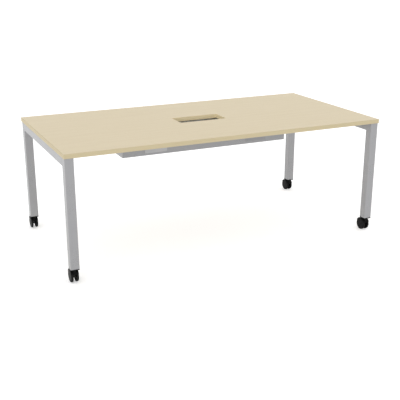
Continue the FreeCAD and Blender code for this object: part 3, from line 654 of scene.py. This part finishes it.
def weld_bead(name, tube, onto, axis, width, sink, wave, material):
    """A rippled weld round three sides of a tube's end, where the tube meets another node along an axis.

    The path is a U in the plane of the other node's face: down one side of the tube, under it and up the
    other side, with rounded corners and with both sides set in by sink. The profile is a circle about the
    path. Its radius is width / 2 times 1 + wave * sin(2 pi s / ripple) at the distance s along the path, and
    falls to nothing at both ends as the square root of the distance from the end.
    """
    ripple = 2.5 * MILLIMETRE
    steps_per_ripple = 6
    around = 10
    corner_rounding = 3.0 * MILLIMETRE
    headroom = 0.65 * width
    low, high = np.array(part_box(tube))
    onto_low, onto_high = np.array(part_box(onto))
    across = 1 - axis
    outward = np.sign((onto_low + onto_high - low - high)[axis])
    face = onto_low[axis] if outward > 0 else onto_high[axis]
    side = (high[across] - low[across]) / 2 - sink
    top = high[2] - headroom
    bottom = low[2]
    corners = [(side, top), (side, bottom), (-side, bottom), (-side, top)]
    outline = rounded(corners, [corner_rounding] * 2, steps=9)
    path, distance = evenly(outline, ripple / steps_per_ripple)
    ahead = np.gradient(path, axis=0)
    ahead = ahead / np.linalg.norm(ahead, axis=1)[:, None]
    spine = np.zeros((len(path), 3))
    spine[:, axis] = face
    spine[:, across] = (low[across] + high[across]) / 2 + path[:, 0]
    spine[:, 2] = path[:, 1]
    sideways = np.zeros_like(spine)
    sideways[:, across] = -ahead[:, 1]
    sideways[:, 2] = ahead[:, 0]
    lift = -outward * np.eye(3)[axis]
    end_distance = np.minimum(distance, distance[-1] - distance)
    taper = np.sqrt(np.clip(end_distance / width, 0, 1))
    radius = width / 2 * (1 + wave * np.sin(2 * math.pi * distance / ripple)) * taper
    # The rings turn the way that makes the faces point outwards.
    spin = outward * (axis - across)
    turn = (spin * np.arange(around) * 2 * math.pi / around)[None, :, None]
    rings = spine[:, None] + radius[:, None, None] * (np.cos(turn) * sideways[:, None] + np.sin(turn) * lift)
    points, faces = closed_skin(rings[1:-1], spine[0], spine[-1])
    bead = new_piece(name, points, faces, material)
    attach(bead, "table")


def seen_directly(shader):
    """1 for rays from the camera, in mirrors and through glass, and 0 for rays that light the table."""
    camera = shader.node("ShaderNodeLightPath", {}, {}, "Is Camera Ray")
    mirror = shader.node("ShaderNodeLightPath", {}, {}, "Is Glossy Ray")
    glass = shader.node("ShaderNodeLightPath", {}, {}, "Is Transmission Ray")
    return camera + mirror + glass


def stage_floor(setting):
    """A flat floor that shows white to the camera and to reflections, and keeps the table's soft shadow."""
    reach = 60.0
    points = np.array([[-reach, -reach, 0], [reach, -reach, 0], [reach, reach, 0], [-reach, reach, 0]])
    shader = new_shader("stage_floor")
    matt = shader.node("ShaderNodeBsdfDiffuse", {}, {"Color": opaque(setting.floor)}, "BSDF")
    glow_strength = setting.floor_glow * seen_directly(shader)
    glow = shader.node("ShaderNodeEmission", {}, {"Strength": glow_strength}, "Emission")
    both = shader.node("ShaderNodeAddShader", {}, {"Shader": matt, "Shader_001": glow}, "Shader")
    shader.show(both, "ShaderNodeOutputMaterial")
    floor = new_piece("stage_floor", points, [[0, 1, 2, 3]], shader.holder)


def stage_world(setting):
    """White surroundings to look at, and an even sky that lights the table less."""
    world = bpy.data.worlds.new("stage_world")
    bpy.context.scene.world = world
    shader = Shader(world)
    strength = setting.sky + (1.0 - setting.sky) * seen_directly(shader)
    sky = shader.node("ShaderNodeBackground", {}, {"Color": WHITE, "Strength": strength}, "Background")
    shader.show(sky, "ShaderNodeOutputWorld")


def stage_lamp(setting):
    """One wide soft lamp in front on the left, a little above the table top.

    It lights matt surfaces alone, so that the satin top shows no glare from the other side.
    """
    lamp = bpy.data.lights.new("stage_lamp", "SUN")
    lamp.energy = setting.lamp
    lamp.angle = setting.lamp_spread
    holder = bpy.data.objects.new("stage_lamp", lamp)
    holder.rotation_euler = (setting.lamp_tilt, 0, setting.lamp_turn)
    holder.visible_glossy = False
    bpy.context.scene.collection.objects.link(holder)


def stage_camera(setting):
    """The camera where the photograph was taken from."""
    camera = bpy.data.cameras.new("stage_camera")
    camera.lens = setting.focal_length
    camera.sensor_width = SENSOR_WIDTH
    camera.dof.use_dof = False
    holder = bpy.data.objects.new("stage_camera", camera)
    holder.location = setting.camera_place
    holder.rotation_euler = (math.pi / 2 - setting.camera_dip, 0, setting.camera_turn)
    bpy.context.scene.collection.objects.link(holder)
    bpy.context.scene.camera = holder


class TABLE_OT_dress_top(bpy.types.Operator):
    """Gives the board its maple face"""

    bl_idname = "table.dress_top"
    bl_label = "Maple top"

    def execute(self, context):
        dress(maple_laminate(context.scene.table_top), ["top_board"])
        return {"FINISHED"}


class TABLE_OT_dress_edging(bpy.types.Operator):
    """Gives the edge bands their maple edging, and the cut-out's walls a lighter copy of it as painted light
    """

    bl_idname = "table.dress_edging"
    bl_label = "Maple edging"

    def execute(self, context):
        finish = context.scene.table_top
        dress(maple_edging("maple_edging", finish.edging, finish.edging_dark), EDGING_NODES)
        # The cut-out's band is a lighter copy of the edging, as painted light on its shaded walls.
        dress(maple_edging("maple_lining_painted_light", finish.lining_painted_light, finish.lining_streaks_painted_light), ["cutout_edge_band"])
        return {"FINISHED"}


class TABLE_OT_dress_frame(bpy.types.Operator):
    """Paints legs, beams, rails, plates and brackets"""

    bl_idname = "table.dress_frame"
    bl_label = "Painted frame"

    def execute(self, context):
        finish = context.scene.table_frame
        dress(silver_paint(finish, "silver_frame", finish.paint, FRAME_PEEL), FRAME_NODES)
        return {"FINISHED"}


class TABLE_OT_dress_tray(bpy.types.Operator):
    """Paints the cable tray, and its covers in a lighter and a darker copy of one silver as painted light
    and painted shade
    """

    bl_idname = "table.dress_tray"
    bl_label = "Painted cable tray"

    def execute(self, context):
        finish = context.scene.table_frame
        # The inside of the tray is lightened as painted light.
        dress(tray_sheet(finish), TRAY_NODES)
        # One silver in two copies: painted light on two covers and painted shade on the other two.
        dress(silver_paint(finish, "silver_cover_painted_lit", finish.painted_lit_cover, TRAY_PEEL), PAINTED_LIT_COVER_NODES)
        dress(silver_paint(finish, "silver_cover_painted_shade", finish.painted_shaded_cover, TRAY_PEEL), PAINTED_SHADED_COVER_NODES)
        return {"FINISHED"}


class TABLE_OT_dress_fasteners(bpy.types.Operator):
    """Gives bolts, nuts, screws, caster stems and axles their zinc plate"""

    bl_idname = "table.dress_fasteners"
    bl_label = "Zinc fasteners"

    def execute(self, context):
        stems = [kind + corner for kind in ("caster_stem_", "caster_axle_") for corner in CORNERS]
        dress(zinc_steel(context.scene.table_frame), [*FASTENER_NODES, *stems])
        return {"FINISHED"}


class TABLE_OT_build_welds(bpy.types.Operator):
    """Lays a weld bead at both ends of both long rails and both end beams"""

    bl_idname = "table.build_welds"
    bl_label = "Frame welds"

    def execute(self, context):
        finish = context.scene.table_frame
        material = painted_weld(finish)
        raised = (finish.weld_width, 0.0, finish.weld_wave)
        dressed = (finish.weld_width, finish.dressed_sink, finish.dressed_wave)
        for corner in CORNERS:
            row, end = corner.split("_")
            plate = "rail_end_plate_" + corner
            leg = "leg_" + corner
            weld_bead("rail_weld_" + corner, "long_rail_" + row, plate, X_AXIS, *raised, material)
            weld_bead("beam_weld_" + corner, "end_beam_" + end, leg, Y_AXIS, *dressed, material)
        return {"FINISHED"}


class TABLE_OT_dress_casters(bpy.types.Operator):
    """Gives caster hoods and leg inserts their black nylon"""

    bl_idname = "table.dress_casters"
    bl_label = "Caster hoods and inserts"

    def execute(self, context):
        nodes = [kind + corner for kind in ("caster_hood_", "leg_insert_") for corner in CORNERS]
        dress(black_nylon(context.scene.table_casters, "black_nylon", worn_tread=False), nodes)
        return {"FINISHED"}


class TABLE_OT_build_cap_rims(bpy.types.Operator):
    """Builds the black rims under the leg inserts"""

    bl_idname = "table.build_cap_rims"
    bl_label = "Leg cap rims"

    def execute(self, context):
        finish = context.scene.table_casters
        material = black_nylon(finish, "black_nylon_cap", worn_tread=False)
        for corner in CORNERS:
            leg_cap_rim(corner, finish.cap_rim, material)
        return {"FINISHED"}


class TABLE_OT_build_wheels(bpy.types.Operator):
    """Builds the eight caster wheels over their CAD nodes"""

    bl_idname = "table.build_wheels"
    bl_label = "Caster wheels"

    def execute(self, context):
        finish = context.scene.table_casters
        material = black_nylon(finish, "black_nylon_wheel", worn_tread=True)
        for corner in CORNERS:
            for side in OUTWARD:
                caster_wheel(corner, side, finish, material)
        return {"FINISHED"}


class TABLE_OT_set_stage(bpy.types.Operator):
    """Sets floor, light, surroundings and camera"""

    bl_idname = "table.set_stage"
    bl_label = "Stage"

    def execute(self, context):
        setting = context.scene.table_stage
        stage_floor(setting)
        stage_world(setting)
        stage_lamp(setting)
        stage_camera(setting)
        context.scene.view_settings.view_transform = "Standard"
        return {"FINISHED"}


class TABLE_PT_finishes(bpy.types.Panel):
    """Lists the steps and the values that they read"""

    bl_label = "Meeting table"
    bl_space_type = "VIEW_3D"
    bl_region_type = "UI"
    bl_category = "Table"

    def draw(self, context):
        for step in STEPS:
            self.layout.operator(step.bl_idname)
        for group in GROUPS:
            values = getattr(context.scene, group)
            for name in values.__annotations__:
                self.layout.prop(values, name)


GROUPS = {
    "table_top": TopFinish,
    "table_frame": FrameFinish,
    "table_casters": CasterFinish,
    "table_stage": StageSetting,
}
STEPS = (
    TABLE_OT_dress_top,
    TABLE_OT_dress_edging,
    TABLE_OT_dress_frame,
    TABLE_OT_dress_tray,
    TABLE_OT_dress_fasteners,
    TABLE_OT_build_welds,
    TABLE_OT_dress_casters,
    TABLE_OT_build_cap_rims,
    TABLE_OT_build_wheels,
    TABLE_OT_set_stage,
)


def register():
    """Adds the classes and the values that a user can change."""
    for cls in (*GROUPS.values(), *STEPS, TABLE_PT_finishes):
        bpy.utils.register_class(cls)
    for name, group in GROUPS.items():
        setattr(bpy.types.Scene, name, PointerProperty(type=group))


def unregister():
    """Removes what register added."""
    for name in GROUPS:
        delattr(bpy.types.Scene, name)
    for cls in (TABLE_PT_finishes, *reversed(STEPS), *GROUPS.values()):
        bpy.utils.unregister_class(cls)


def main():
    register()
    bpy.ops.table.dress_top()
    bpy.ops.table.dress_edging()
    bpy.ops.table.dress_frame()
    bpy.ops.table.dress_tray()
    bpy.ops.table.dress_fasteners()
    bpy.ops.table.build_welds()
    bpy.ops.table.dress_casters()
    bpy.ops.table.build_cap_rims()
    bpy.ops.table.build_wheels()
    bpy.ops.table.set_stage()
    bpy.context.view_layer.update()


if __name__ == "__main__":
    main()
